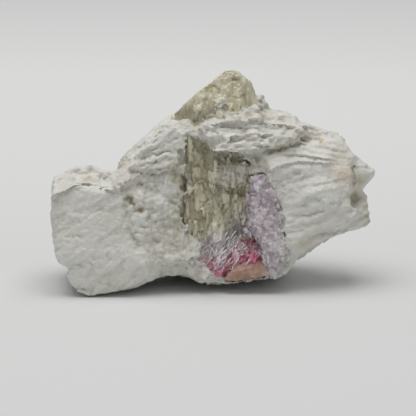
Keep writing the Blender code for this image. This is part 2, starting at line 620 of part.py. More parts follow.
def keep_largest(item):
    """Drops the crumbs that a cut leaves loose, so that one body is left."""
    shape = bmesh.new()
    shape.from_mesh(item.data)
    left = set(shape.verts)
    bodies = []
    while left:
        start = left.pop()
        body = {start}
        border = [start]
        while border:
            vert = border.pop()
            for edge in vert.link_edges:
                other = edge.other_vert(vert)
                if other not in body:
                    body.add(other)
                    border.append(other)
        left -= body
        bodies.append(body)
    bodies.sort(key=len)
    for body in bodies[:-1]:
        bmesh.ops.delete(shape, geom=list(body), context="VERTS")
    shape.to_mesh(item.data)
    shape.free()


def finish(item, colour, roughness):
    """Gives a piece its own material."""
    material = bpy.data.materials.new(item.name)
    material.use_nodes = True
    surface = material.node_tree.nodes["Principled BSDF"]
    surface.inputs["Base Color"].default_value = (*colour, 1.0)
    surface.inputs["Roughness"].default_value = roughness
    surface.inputs["Metallic"].default_value = 0.0
    material.diffuse_color = (*colour, 1.0)
    item.data.materials.clear()
    item.data.materials.append(material)


def main():
    for item in list(bpy.data.objects):
        bpy.data.objects.remove(item, do_unlink=True)
    parts = bpy.data.collections.new(NAME)
    cutters = bpy.data.collections.new("cutters")
    for collection in (parts, cutters):
        bpy.context.scene.collection.children.link(collection)

    # the stone: chips fused into one skin, hollowed, weathered
    stone = bmesh.new()
    for region in (left_block, middle, back, blades, crust, right_wedge):
        region(stone)
    rock = object_from(stone, "albite_matrix", parts)
    fuse(rock, ROCK_GRAIN)
    for hole in pits():
        carve(rock, object_from(hole, "hollow", cutters))
    fuse(rock, ROCK_GRAIN)
    weather(rock, ROCK_RELIEF, 4)
    thin(rock, ROCK_TRIANGLES)

    # the crystal, and the pocket it fills
    tourmaline = object_from(crystal(0.0), "tourmaline_crystal", parts)
    pocket = object_from(crystal(GAP), "pocket", cutters)
    for body, grow in ((tourmaline, 0.0), (pocket, GAP)):
        for outline, front, lean in splinters():
            carve(body, object_from(splinter(outline, front, lean, grow), "splinter", cutters), "UNION")

    # the slab under its foot
    feldspar = object_from(slab(0.0), "peach_feldspar", parts)
    slab_bed = object_from(slab(GAP), "slab_bed", cutters)
    carve(tourmaline, slab_bed)

    # the mica seam at its side
    mica = object_from(seam(), "lepidolite_seam", parts)
    fuse(mica, ROCK_GRAIN)
    seam_bed = object_from(seam(), "seam_bed", cutters)
    fuse(seam_bed, ROCK_GRAIN)
    swell(seam_bed, GAP * 1.5)
    for skin in (mica, seam_bed):
        thin(skin, SEAM_TRIANGLES)
    carve(mica, pocket)
    carve(mica, slab_bed)
    for bed in (pocket, slab_bed, seam_bed):
        carve(rock, bed)

    # the piece leans back on the table, which meets it in flat patches
    lean = Matrix.Rotation(-LEAN_BACK, 4, "X")
    for item in parts.objects:
        item.data.transform(lean)
    table = bmesh.new()
    bmesh.ops.create_cube(table, size=TABLE_WIDTH * MM)
    bmesh.ops.translate(table, vec=(0, 0, -TABLE_WIDTH * MM / 2), verts=table.verts[:])
    carve(rock, object_from(table, "table", cutters))
    for item in (rock, tourmaline, mica):
        keep_largest(item)

    # the origin is under the middle of the whole piece
    corners = np.array([vert.co for item in parts.objects for vert in item.data.vertices])
    low, high = corners.min(axis=0), corners.max(axis=0)
    under = Matrix.Translation((-(low[0] + high[0]) / 2, -(low[1] + high[1]) / 2, -low[2]))
    for item in parts.objects:
        item.data.transform(under)

    finish(rock, (0.74, 0.73, 0.68), 0.75)
    finish(tourmaline, (0.30, 0.29, 0.17), 0.35)
    finish(mica, (0.52, 0.42, 0.48), 0.5)
    finish(feldspar, (0.55, 0.36, 0.26), 0.6)
    for item in cutters.objects:
        item.hide_render = True
        item.hide_viewport = True
        item.display_type = "WIRE"


main()
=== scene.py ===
"""Looks of the watermelon tourmaline crystal in its albite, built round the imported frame."""
import math
import random

import bmesh
import bpy
import numpy as np
from mathutils import Euler, Matrix, Vector, noise


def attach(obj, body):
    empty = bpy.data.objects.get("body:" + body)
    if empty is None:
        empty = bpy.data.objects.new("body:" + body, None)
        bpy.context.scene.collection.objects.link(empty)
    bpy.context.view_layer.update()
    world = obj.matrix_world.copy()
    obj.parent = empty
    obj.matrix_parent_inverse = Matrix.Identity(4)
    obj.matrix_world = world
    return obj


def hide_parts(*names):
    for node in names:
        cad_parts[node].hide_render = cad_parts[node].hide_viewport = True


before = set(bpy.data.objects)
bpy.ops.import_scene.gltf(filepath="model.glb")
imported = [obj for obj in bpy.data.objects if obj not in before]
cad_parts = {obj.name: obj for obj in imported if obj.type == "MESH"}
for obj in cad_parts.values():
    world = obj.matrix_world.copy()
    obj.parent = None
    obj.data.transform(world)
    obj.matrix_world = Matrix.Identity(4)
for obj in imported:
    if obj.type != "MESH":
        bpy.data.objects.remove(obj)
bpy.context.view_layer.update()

# The studio: a wide sheet of pale paper under the piece, one broad soft light above it and an even sky.
# The camera looks square at the broad face, twelve degrees above the table, through a long lens.
MM = 0.001
LEAN = math.radians(12.0)  # the broad face leans back by this, and the camera looks down by it
FACE_ORIGIN = Vector((0.25, -10.806, 0.0))  # the layout's zero in the frame, mm
ACROSS = Vector((1.0, 0.0, 0.0))
UP = Vector((0.0, math.sin(LEAN), math.cos(LEAN)))
INTO = Vector((0.0, math.cos(LEAN), -math.sin(LEAN)))
PAPER_SIZE = 6.0  # m
# painted light: the paper's colour runs from the near tone to a paler one behind the piece, standing in for a
# more brightly lit back of the sheet
PAPER_NEAR = (0.765, 0.775, 0.772)
PAPER_FAR_PAINTED_LIGHT = (0.965, 0.97, 0.965)
PAPER_LIGHT_RISE = (0.02, 0.30)  # how far behind the piece the paper grows paler, m: painted light
SKY_COLOUR = (0.97, 0.985, 1.0, 1.0)
SKY_STRENGTH = 0.30
LAMP_COLOUR = (1.0, 0.985, 0.965)
LAMP_ENERGY = 4.0  # W
LAMP_SIZE = 0.7  # m
LAMP_PLACE = (-0.05, -0.04, 0.75)  # m
VIEW_CENTRE = (-1.5, 20.0)  # what the middle of the picture looks at, mm across and up the face
VIEW_WIDTH = 104.0  # how much of the face the picture takes in, mm
CAMERA_DISTANCE = 0.9  # m
SENSOR = 36.0  # mm


def place(across, up, into):
    """A point of the broad face's layout (mm across, up and into the stone) in the frame, in metres."""
    return (FACE_ORIGIN + ACROSS * across + UP * up + INTO * into) * MM


def object_from(shape, name):
    """Puts a finished bmesh in the file as an object at the origin."""
    mesh = bpy.data.meshes.new(name)
    shape.to_mesh(mesh)
    shape.free()
    item = bpy.data.objects.new(name, mesh)
    bpy.context.scene.collection.objects.link(item)
    return item


def node(tree, kind, inputs=None, **settings):
    """Adds a node with its settings, each input given as a value or as the socket that feeds it."""
    made = tree.nodes.new(kind)
    for name, value in settings.items():
        setattr(made, name, value)
    for name, value in (inputs or {}).items():
        if isinstance(value, bpy.types.NodeSocket):
            tree.links.new(value, made.inputs[name])
        else:
            made.inputs[name].default_value = value
    return made


def blend(tree, share, first, second):
    """A colour between two colours or sockets, by a share from 0 to 1."""
    mixed = tree.nodes.new("ShaderNodeMix")
    mixed.data_type = "RGBA"
    mixed.clamp_factor = True
    for index, value in ((0, share), (6, first), (7, second)):
        if isinstance(value, bpy.types.NodeSocket):
            tree.links.new(value, mixed.inputs[index])
        else:
            mixed.inputs[index].default_value = (*value, 1.0)
    return mixed.outputs[2]


def new_material(name):
    """A material with its node tree and its Principled shader."""
    material = bpy.data.materials.new(name)
    material.use_nodes = True
    return material, material.node_tree, material.node_tree.nodes["Principled BSDF"]


sheet = bmesh.new()
bmesh.ops.create_grid(sheet, x_segments=2, y_segments=2, size=PAPER_SIZE / 2)
paper = object_from(sheet, "paper_sheet")
material, tree, surface = new_material("paper")
position = node(tree, "ShaderNodeTexCoord").outputs["Object"]
# painted light: the paper's colour brightens with its distance behind the piece
behind = node(tree, "ShaderNodeSeparateXYZ", {0: position}).outputs["Y"]
rise = node(tree, "ShaderNodeMapRange", {"Value": behind, "From Min": PAPER_LIGHT_RISE[0],
                                         "From Max": PAPER_LIGHT_RISE[1]})
tree.links.new(blend(tree, rise.outputs[0], PAPER_NEAR, PAPER_FAR_PAINTED_LIGHT), surface.inputs["Base Color"])
surface.inputs["Roughness"].default_value = 0.9
surface.inputs["Specular IOR Level"].default_value = 0.1
paper.data.materials.append(material)

scene = bpy.context.scene
scene.view_settings.view_transform = "Standard"
sky = bpy.data.worlds.new("even_sky")
sky.use_nodes = True
sky.node_tree.nodes["Background"].inputs["Color"].default_value = SKY_COLOUR
sky.node_tree.nodes["Background"].inputs["Strength"].default_value = SKY_STRENGTH
scene.world = sky
lamp = bpy.data.lights.new("soft_box", "AREA")
lamp.shape = "SQUARE"
lamp.size = LAMP_SIZE
lamp.energy = LAMP_ENERGY
lamp.color = LAMP_COLOUR
box = bpy.data.objects.new("soft_box", lamp)
box.location = LAMP_PLACE
scene.collection.objects.link(box)

lens = bpy.data.cameras.new("long_lens")
lens.sensor_width = SENSOR
lens.lens = SENSOR * CAMERA_DISTANCE / (VIEW_WIDTH * MM)
lens.clip_end = 10.0
camera = bpy.data.objects.new("camera", lens)
camera.location = place(*VIEW_CENTRE, 0.0) - INTO * CAMERA_DISTANCE
camera.rotation_euler = (-INTO).to_track_quat("Z", "Y").to_euler()
scene.collection.objects.link(camera)
scene.camera = camera

# The albite matrix: white cleaved feldspar that grew round the crystal as one mass of block, blades, crust
# and foliated plates. Its skin is the frame's solid with crisp chips laid on it, fused fine and then broken
# into cleavage steps, grains and pits. All places are mm across and up the broad face.
SKIN_GRAIN = 0.43  # size of the grid that fuses the skin, mm
CORE_INSET = 0.5  # how far inside the crystal the albite fills its pocket, mm
FIBRE_WAY = (0.79, 0.62)  # cosine and sine of the way the blades run
PIT_SHARE = 0.7  # how much of the depth in its table each pit gets
CRACK_DIRT_AND_SHADE = 0.7  # how dark a crack or pit gets for each mm of its depth: grime and painted shade
GROOVE_SHADE = 0.5  # how dark the grooves between grains get: painted shade
GROOVE_DEPTHS = (0.10, 0.55)  # where that darkening starts and where it is full, mm below the skin
FRAY_SCATTER = 0.6  # how far loose grains stray from their line, mm
FRAY_SINK = (0.0, 1.6)  # how far they sink into the stone, mm
FRAY_TURN = (0.0, 3.0)  # how far each is turned about each axis, radians
FRAY_LENGTH = (0.6, 1.5)  # how far each is stretched, times its size
FRAY_THICKNESS = (0.5, 1.0)  # how thick each is, times its size
WANDER = 0.9  # how far cracks and pits stray from the drawn line, mm
PLATE_RISE = 0.20  # how steeply the wedge's lower plates rise to the right
PLATE_FALL = 0.26  # how steeply its upper plates fall to the right
PLATE_BORDER = 0.1  # how steeply the line between the two rises to the right
UPPER_PLATES = (27.0, 31.0)  # between these the upper plates take over, mm up the face
PLATE_WARP = 0.9  # how far the plates wave up and down, mm
PLATE_PATCH = (11.0, 15.0)  # how far across and into the stone a plate keeps its reach, mm
PLATE_STEP = 7.3  # takes each plate to a random reach of its own
GRAIN_STEP = 97.0  # takes each grain to a random height of its own
GROOVE = 0.45  # how deep the groove round a grain is, next to the grain's height
# the chips: outline, front and back in mm into the stone, and how fast the front runs back across and up
CHIPS = [
    # the two grey blades at the upper left and the lit chip below them
    ([(-18.3, 34.3), (-15.5, 36.0), (-12, 39.4), (-10.6, 40.6), (-7.6, 38.6), (-6.6, 37.6), (-6.8, 34.4),
      (-9.8, 34.3), (-13.5, 32.9), (-17.4, 32.5)], -8.6, -4.0, (0.06, 0.1)),
    ([(-21.5, 30.2), (-19.6, 31.6), (-15.4, 32.7), (-9, 34.2), (-8.6, 31), (-12, 29.3), (-17, 28.8)],
     -9.7, -4.0, (0.05, 0.12)),
    ([(-25.3, 25.4), (-24, 28.2), (-22.2, 29.3), (-20.4, 28.4), (-20.2, 27.2), (-22, 25.7), (-23.8, 24.8)],
     -11.0, -5.0, (-0.3, 0.5)),
    # the bright chunk of the crust and the lens-shaped plate beside it
    ([(-4.4, 39.6), (-2.8, 41.4), (0.2, 40.1), (2.5, 38.3), (1.4, 36.9), (-1.4, 37.2)],
     -9.4, -4.0, (0.1, 0.35)),
    ([(-0.6, 34.0), (2.0, 36.6), (5.6, 38.6), (10, 38.9), (15, 38.6), (19.6, 38.1), (21.4, 37.3),
      (19.4, 36.2), (15, 35.0), (11, 34.2), (5.0, 33.5)], -9.7, -4.0, (0.13, 0.28)),
]
# where the albite frays over the crystal and the seam: a line, and how far into the stone it lies
FRAYED = [
    ([(-8.2, 37), (-7.6, 30), (-8.4, 24), (-8.6, 16), (-7.0, 9), (-4, 4.5)], -9.0),
    ([(-4.5, 40.7), (-3.2, 41.8), (-1, 43), (1, 45.6), (3, 46), (5, 44.8), (7.8, 45.2)], -6.2),
    ([(-1, 33.4), (4, 32.6), (9.5, 32.4), (10.6, 27)], -8.8),
    ([(-3.5, 3.0), (1, 1.8), (5, 1.6)], -9.6),
    ([(12.5, 27.8), (15.2, 24.5), (17, 19), (17.8, 12), (17.6, 7), (15.8, 3)], -8.6),
]
# the parts of the face that break each in their own way
BLOCK = [(-43, -6), (-43, 33), (-28, 32), (-25, 25), (-22, 22), (-21.5, 14), (-17, 8), (-12, -4)]
BLADES = [(-26, 26), (-21, 33), (-14, 43), (-4, 49), (-4, 40), (-7, 33), (-8, 29), (-20, 27)]
CRUST = [(-7, 31), (-5, 41), (-1, 50), (14, 50), (24, 44), (33, 38.5), (22, 36.6), (12.5, 33.8), (10, 31),
         (0, 31)]
WEDGE = [(12, 33.8), (22, 36.6), (33, 40), (43, 33), (43, 10), (16, 0), (17, 8), (18, 27), (12, 31)]
# ledges: how far the stone stands out on the left of the line's way, how soon that fades, and the line
LEDGES = [
    (1.3, 2.2, [(-41, 22.4), (-38.5, 23.4), (-36.5, 24.1), (-35, 25.3), (-31.5, 26), (-29, 25.2),
                (-26, 24.4)]),
    (-1.0, 2.0, [(-40, 27.8), (-36, 28.2), (-31, 28.0), (-28.6, 27.2)]),
    (1.1, 2.5, [(19.5, 10.5), (21.5, 11.3), (23, 12.8), (25, 14.2), (28, 15), (31.5, 15.5), (33.5, 16.8),
                (36.3, 18.8)]),
    (0.7, 1.8, [(20, 15.6), (24, 16.5), (27, 17.8), (30, 20)]),
    (0.8, 1.6, [(13.5, 29), (17, 30.6), (21, 31.4), (28, 31)]),
    (0.6, 1.2, [(18.8, 27.7), (20.5, 27.5), (22.5, 27.8)]),
    (0.6, 1.2, [(22.4, 22.0), (23.4, 22.9), (25, 22.9), (26.8, 21.5)]),
    (0.9, 2.0, [(-13.5, 5.5), (-9, 5.2), (-5, 5.6)]),
    (0.9, 1.6, [(19, 33.1), (23.5, 32.9), (28, 32.2)]),
    (0.7, 1.5, [(-21, 26.6), (-16, 28.4), (-9, 30)]),
    (0.8, 1.5, [(0.0, 40.6), (6, 41.4), (12, 41), (18, 40.6), (23, 40.2)]),
]
# cracks: depth, width and line
CRACKS = [
    (1.6, 0.55, [(12.3, 33.7), (15, 34.3), (18.5, 35.3), (20.5, 35.7), (22.5, 36.3)]),
    (1.2, 0.5, [(-6.9, 32.5), (-6.6, 35), (-6.8, 38)]),
    (0.5, 0.35, [(-35, 5.7), (-33, 5.9)]),
    (0.6, 0.4, [(-34.8, 0.6), (-31.5, -0.3)]),
    (0.5, 0.4, [(-28.3, 1.8), (-26, 1.2)]),
    (0.35, 0.35, [(-34, 19.2), (-30, 19.0), (-26, 19.3)]),
    (0.4, 0.3, [(-36.5, 12.9), (-33, 13.2)]),
    (0.9, 0.5, [(34.3, 30), (34.8, 27.4), (34.6, 25)]),
    (0.7, 0.5, [(20, 17.6), (23, 18), (27, 19.5)]),
    (0.5, 0.4, [(29, 21), (32, 21.6), (34, 23)]),
    (0.6, 0.45, [(24, 13), (28, 13.8), (33, 14.6)]),
    (0.8, 0.5, [(16.2, 4.2), (16.2, 6)]),
    (0.6, 0.4, [(-24, 30), (-20.5, 31.6), (-19, 33)]),
    (0.9, 0.45, [(-19.5, 31.8), (-15.4, 32.9), (-9, 34.3)]),
    (0.9, 0.5, [(-21, 29), (-17, 28.5), (-12, 29.2), (-8.5, 30.9)]),
    (0.7, 0.4, [(-18.5, 34.5), (-15.7, 36.3), (-12, 40)]),
    (0.5, 0.35, [(-17, 33.6), (-13, 35.2), (-9, 37.6)]),
    (0.5, 0.35, [(-19, 30.3), (-14, 31.2), (-10, 32.4)]),
    (0.6, 0.5, [(-21.5, 22), (-22, 18), (-21, 14.5), (-19, 11)]),
    (0.7, 0.5, [(4, 36.5), (9, 37.2), (14, 37.0)]),
    (0.6, 0.5, [(6, 39.6), (12, 39.9), (19, 39.4)]),
]
# pits: across, up, width, height and depth
PITS = [
    (-25.8, 25.7, 0.5, 0.5, 1.6), (-21.2, 22.4, 0.9, 0.7, 2.2), (-20.4, 21.2, 0.5, 0.9, 2.2),
    (-18.2, 25.6, 0.8, 0.7, 1.4), (-16, 24.7, 0.8, 0.6, 1.2), (-10.7, 21.4, 0.8, 0.7, 1.4),
    (-9.6, 20.8, 0.7, 0.6, 1.2), (-18, 15.5, 0.9, 0.5, 1.0), (-12.2, 15.5, 0.8, 0.6, 1.0),
    (-18.3, 19.5, 1.1, 0.5, 1.6), (22.5, 20.5, 0.9, 0.6, 1.0), (20.5, 28.4, 1.3, 0.6, 0.9),
    (35.2, 22.2, 1.4, 1.5, 1.5), (20.5, 33.3, 2.2, 0.6, 0.9), (-14, 12.3, 1.2, 0.8, 0.8),
]
# stains: across, up, width, height and strength
STAINS = {
    "ochre": [(-18.3, 19.5, 1.3, 0.6, 1.0), (26.6, 36.6, 0.5, 1.0, 0.9), (36.2, 26.7, 1.3, 1.0, 0.5),
              (22, 11.2, 2.6, 1.3, 0.4), (-20.8, 22, 0.9, 1.0, 0.6), (8.2, 43.4, 1.3, 1.3, 0.5),
              (11.8, 42.6, 0.8, 0.8, 0.8), (16, 34.6, 3.5, 0.5, 0.6), (18.5, 7.6, 0.8, 2.2, 0.3),
              (-23, 30.4, 1.2, 0.6, 0.4), (-31, 27.6, 2.2, 0.7, 0.25)],
    "olive": [(-9, 27, 2.0, 6, 0.6), (-9.4, 16, 1.8, 6, 0.5), (5, 32, 6, 1.3, 0.45), (0, 44, 6, 1.6, 0.4),
              (-4.5, 42, 3, 1.3, 0.4), (-8, 44.5, 4, 1.2, 0.5), (35.2, 22, 2.2, 2.6, 0.45),
              (38.3, 18, 1.2, 3, 0.5), (36.5, 27.5, 2.2, 3, 0.25), (12, 44.5, 1.5, 3, 0.25),
              (11.5, 27, 1.5, 4, 0.35)],
    "peach": [(32.3, 28, 2.3, 3.4, 0.9), (22, 38.9, 0.9, 0.6, 0.9), (-20, 27.5, 2.5, 1.5, 0.4),
              (31, 33, 3, 3, 0.35), (-14, 12.3, 3, 1.6, 0.35), (-8.5, 11.5, 2, 1.6, 0.35),
              (-36, 12, 3, 3, 0.2), (24, 37.5, 3, 1.5, 0.3)],
    "rosy": [(-3.4, 5.2, 1.4, 2.4, 0.5), (15.5, 12.5, 2.4, 2.4, 0.5), (14.5, 20, 2.2, 3, 0.4),
             (11.5, 2.6, 3, 1.0, 0.3)],
}
STAIN_RANGE = (-9.0, -1.0)  # the stains fade out from 1 to 9 mm into the stone
# how each mask of the albite colours it: mask, strength and colour
ALBITE_TINTS = [
    ("peach", 0.75, (0.76, 0.60, 0.44)),
    ("olive", 1.15, (0.44, 0.40, 0.23)),
    ("ochre", 1.1, (0.50, 0.36, 0.13)),
    ("rosy", 0.6, (0.62, 0.45, 0.52)),
]


def add_to(heap, extra):
    """Joins one closed shape to the others of a heap."""
    mesh = bpy.data.meshes.new("shape")
    extra.to_mesh(mesh)
    extra.free()
    heap.from_mesh(mesh)
    bpy.data.meshes.remove(mesh)


def chip(heap, outline, front, back, lean):
    """Adds one crisp chip: an outline on the face, carried back. lean is how fast its front runs back."""
    block = bmesh.new()
    middle = np.mean(outline, axis=0)
    near = []
    for across, up in outline:
        into = front + lean[0] * (across - middle[0]) + lean[1] * (up - middle[1])
        near.append(block.verts.new(place(across, up, into)))
    grown = bmesh.ops.extrude_face_region(block, geom=[block.faces.new(near)])["geom"]
    far = [part for part in grown if isinstance(part, bmesh.types.BMVert)]
    bmesh.ops.translate(block, vec=INTO * (back - front) * MM, verts=far)
    bmesh.ops.recalc_face_normals(block, faces=block.faces[:])
    add_to(heap, block)


def fray(heap, lines, draw, count, sizes):
    """Strews small broken grains along lines on the face: so many to a mm, of sizes between two in mm."""
    for line, into in lines:
        for start, end in zip(line[:-1], line[1:]):
            run = (end[0] - start[0], end[1] - start[1])
            for _ in range(int(math.hypot(*run) * count)):
                share = draw.random()
                grain = bmesh.new()
                bmesh.ops.create_cube(grain, size=draw.uniform(*sizes) * MM)
                turn = Euler([draw.uniform(*FRAY_TURN) for _ in range(3)]).to_matrix().to_4x4()
                stretch = Matrix.Diagonal((draw.uniform(*FRAY_LENGTH), 1.0, draw.uniform(*FRAY_THICKNESS), 1.0))
                across = start[0] + run[0] * share + draw.gauss(0, FRAY_SCATTER)
                up = start[1] + run[1] * share + draw.gauss(0, FRAY_SCATTER)
                move = Matrix.Translation(place(across, up, into + draw.uniform(*FRAY_SINK)))
                bmesh.ops.transform(grain, matrix=move @ turn @ stretch, verts=grain.verts[:])
                add_to(heap, grain)


def node_copy(name):
    """A copy of a CAD node's mesh with its doubles merged."""
    shape = bmesh.new()
    shape.from_mesh(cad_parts[name].data)
    bmesh.ops.remove_doubles(shape, verts=shape.verts[:], dist=1e-6)
    return shape


def grown_copy(name, growth):
    """A copy of a CAD node grown on every side, in mm, or shrunk where growth is below zero."""
    shape = node_copy(name)
    bmesh.ops.recalc_face_normals(shape, faces=shape.faces[:])
    for vert in shape.verts:
        vert.co += vert.normal * growth * MM
    return shape


def fuse(item, grain):
    """Fuses a heap of closed shapes into one fine skin."""
    remesh = item.modifiers.new("fuse", "REMESH")
    remesh.mode = "VOXEL"
    remesh.voxel_size = grain * MM
    bpy.context.view_layer.update()
    graph = bpy.context.evaluated_depsgraph_get()
    mesh = bpy.data.meshes.new_from_object(item.evaluated_get(graph))
    heap = item.data
    item.modifiers.clear()
    item.data = mesh
    bpy.data.meshes.remove(heap)


def keep_joined(item):
    """Drops the crumbs of a fused skin that hang free of its largest island."""
    shape = bmesh.new()
    shape.from_mesh(item.data)
    seen = set()
    largest = []
    for start in shape.verts:
        if start in seen:
            continue
        island = [start]
        seen.add(start)
        for vert in island:
            for edge in vert.link_edges:
                other = edge.other_vert(vert)
                if other not in seen:
                    seen.add(other)
                    island.append(other)
        if len(island) > len(largest):
            largest = island
    kept = set(largest)
    bmesh.ops.delete(shape, geom=[vert for vert in shape.verts if vert not in kept], context="VERTS")
    shape.to_mesh(item.data)
    shape.free()


def skin_of(item):
    """The skin's points on the face's layout (across, up, into, in mm) and its normals the same way."""
    mesh = item.data
    points = np.empty(len(mesh.vertices) * 3)
    mesh.vertices.foreach_get("co", points)
    points = points.reshape(-1, 3) / MM - np.array(FACE_ORIGIN)
    normals = np.empty(len(mesh.vertices) * 3)
    mesh.vertex_normals.foreach_get("vector", normals)
    turn = np.array((ACROSS, UP, INTO)).T
    return points @ turn, normals.reshape(-1, 3) @ turn


def move_skin(item, points):
    """Puts a skin's points where the layout says, none of them below the table."""
    moved = points @ np.array((ACROSS, UP, INTO)) + np.array(FACE_ORIGIN)
    moved[:, 2] = np.maximum(moved[:, 2], 0.0)
    item.data.vertices.foreach_set("co", (moved * MM).ravel())
    item.data.update()


def ramp(values, low, high):
    """A soft step from 0 at low to 1 at high."""
    share = np.clip((values - low) / (high - low), 0.0, 1.0)
    return share * share * (3.0 - 2.0 * share)


def towards_camera(facing, low, high):
    """1 where a skin faces the camera, 0 at its sides and back."""
    return ramp(-facing[:, 2], low, high)


def turned_by(points, way):
    """The points turned on the face, so that their first measure runs along a way (cosine and sine)."""
    along = points[:, 0] * way[0] + points[:, 1] * way[1]
    over = points[:, 1] * way[0] - points[:, 0] * way[1]
    return np.column_stack((along, over, points[:, 2]))


def sampled(points, size, shift=0.0):
    """Smooth noise at each point. size is that of a swell in mm, one or three values."""
    return np.array([noise.noise(Vector(point)) for point in points / np.array(size) + shift])


def grains(points, size, groove, shift=0.0):
    """Broken grains: each stands at a height of its own, from -1.5 to 0.5, with a groove round it."""
    border = np.empty(len(points))
    number = np.empty(len(points))
    for index, point in enumerate(points / np.array(size) + shift):
        reach, seeds = noise.voronoi(Vector(point))
        border[index] = reach[1] - reach[0]
        number[index] = noise.cell(seeds[0] * GRAIN_STEP)
    return number - 0.5 - GROOVE * (1.0 - ramp(border, 0.0, groove))


def lamellae(points, level, spacing, shift=0.0):
    """Cleaved plates lying on each other: most jut out at the lower edge, each by an amount of its own."""
    share = level / spacing + shift
    plate = np.floor(share)
    patches = np.column_stack((plate * PLATE_STEP, points[:, 0] / PLATE_PATCH[0], points[:, 2] / PLATE_PATCH[1]))
    reach = np.array([noise.cell(Vector(patch)) for patch in patches])
    return (0.25 + 0.75 * reach) * (0.65 - (share - plate))


def from_line(points, line):
    """How far each point lies from a line on the face, and on which side: above 0 is left of its way."""
    near = np.full(len(points), 1e9)
    side = np.zeros(len(points))
    for start, end in zip(line[:-1], line[1:]):
        start, run = np.array(start), np.array(end) - np.array(start)
        away = points[:, :2] - start
        along = np.clip(away @ run / (run @ run), 0.0, 1.0)
        gap = np.linalg.norm(away - along[:, None] * run, axis=1)
        closer = gap < near
        near[closer] = gap[closer]
        side[closer] = np.sign(run[0] * away[closer, 1] - run[1] * away[closer, 0])
    return near, side


def within(points, outline, soft):
    """1 inside an outline on the face, 0 outside, with an edge as soft as said."""
    near, _ = from_line(points, list(outline) + [outline[0]])
    inside = np.zeros(len(points), bool)
    for start, end in zip(outline, list(outline[1:]) + [outline[0]]):
        crosses = (start[1] > points[:, 1]) != (end[1] > points[:, 1])
        with np.errstate(divide="ignore", invalid="ignore"):
            share = (end[0] - start[0]) * (points[:, 1] - start[1]) / (end[1] - start[1])
            inside ^= crosses & (points[:, 0] < share + start[0])
    return ramp(np.where(inside, near, -near), -soft, soft)


def furrows(points, lines):
    """The depth at each point of soft furrows, each given as depth, width and line."""
    depths = np.zeros(len(points))
    for depth, width, line in lines:
        near, _ = from_line(points, line)
        depths += depth * np.exp(-(near / width) ** 2)
    return depths


def spots(points, places):
    """Soft spots on the face, each given as across, up, width, height and strength."""
    strengths = np.zeros(len(points))
    for across, up, width, height, strength in places:
        off = ((points[:, 0] - across) / width) ** 2 + ((points[:, 1] - up) / height) ** 2
        strengths += strength * np.exp(-off)
    return strengths


def set_mask(item, name, values):
    """Keeps a value from 0 to 1 at each point of a skin, for its material."""
    mask = item.data.attributes.new(name, "FLOAT", "POINT")
    mask.data.foreach_set("value", np.clip(values, 0.0, 1.0).astype(np.float32))


def maths(tree, operation, *values, clamp=False):
    """One step of arithmetic on values or sockets."""
    step = tree.nodes.new("ShaderNodeMath")
    step.operation = operation
    step.use_clamp = clamp
    for index, value in enumerate(values):
        if isinstance(value, bpy.types.NodeSocket):
            tree.links.new(value, step.inputs[index])
        else:
            step.inputs[index].default_value = value
    return step.outputs[0]


def mask_of(tree, name, strength):
    """A mask of the skin, times a strength."""
    mask = node(tree, "ShaderNodeAttribute", attribute_name=name).outputs["Fac"]
    return maths(tree, "MULTIPLY", mask, strength)


def new_group(name, inputs):
    """A shader node group that puts out a colour. Its inputs are given as names and defaults."""
    group = bpy.data.node_groups.new(name, "ShaderNodeTree")
    for label, value in inputs.items():
        kind = "NodeSocketColor" if isinstance(value, tuple) else "NodeSocketFloat"
        group.interface.new_socket(label, in_out="INPUT", socket_type=kind).default_value = value
    group.interface.new_socket("Colour", in_out="OUTPUT", socket_type="NodeSocketColor")
    return group, group.nodes.new("NodeGroupInput").outputs, group.nodes.new("NodeGroupOutput").inputs


def placed(tree, group, **inputs):
    """Places a node group in a material with its own values, and gives the colour it puts out."""
    values = {label: (*value, 1.0) if isinstance(value, tuple) else value for label, value in inputs.items()}
    return node(tree, "ShaderNodeGroup", values, node_tree=group).outputs["Colour"]


# two tones of a mineral in soft clouds, steepened about their middle
mottle, given, result = new_group("mottle", {"Scale": 100.0, "Detail": 3.0, "Contrast": 1.0,
                                             "Dark": (0.5, 0.5, 0.5, 1.0), "Light": (1.0, 1.0, 1.0, 1.0)})
position = node(mottle, "ShaderNodeTexCoord").outputs["Object"]
clouds = node(mottle, "ShaderNodeTexNoise", {"Vector": position, "Scale": given["Scale"],
                                             "Detail": given["Detail"]}).outputs["Fac"]
shift = maths(mottle, "MULTIPLY_ADD", given["Contrast"], -0.5, 0.5)
share = maths(mottle, "MULTIPLY_ADD", clouds, given["Contrast"], shift, clamp=True)
mottle.links.new(blend(mottle, share, given["Dark"], given["Light"]), result["Colour"])

# painted shade, tinted like grime, in the hollows of a skin
grooves, given, result = new_group("grooves", {"Colour": (1.0, 1.0, 1.0, 1.0), "Shade": (0.4, 0.4, 0.4, 1.0),
                                               "Strength": 0.5})
share = mask_of(grooves, "hollow", given["Strength"])
grooves.links.new(blend(grooves, share, given["Colour"], given["Shade"]), result["Colour"])

heap = node_copy("albite_matrix")
add_to(heap, grown_copy("tourmaline_crystal", -CORE_INSET))
for outline, front, back, lean in CHIPS:
    chip(heap, outline, front, back, lean)
fray(heap, FRAYED, random.Random(7), count=1.1, sizes=(0.7, 1.6))
albite = object_from(heap, "albite")
fuse(albite, SKIN_GRAIN)
keep_joined(albite)

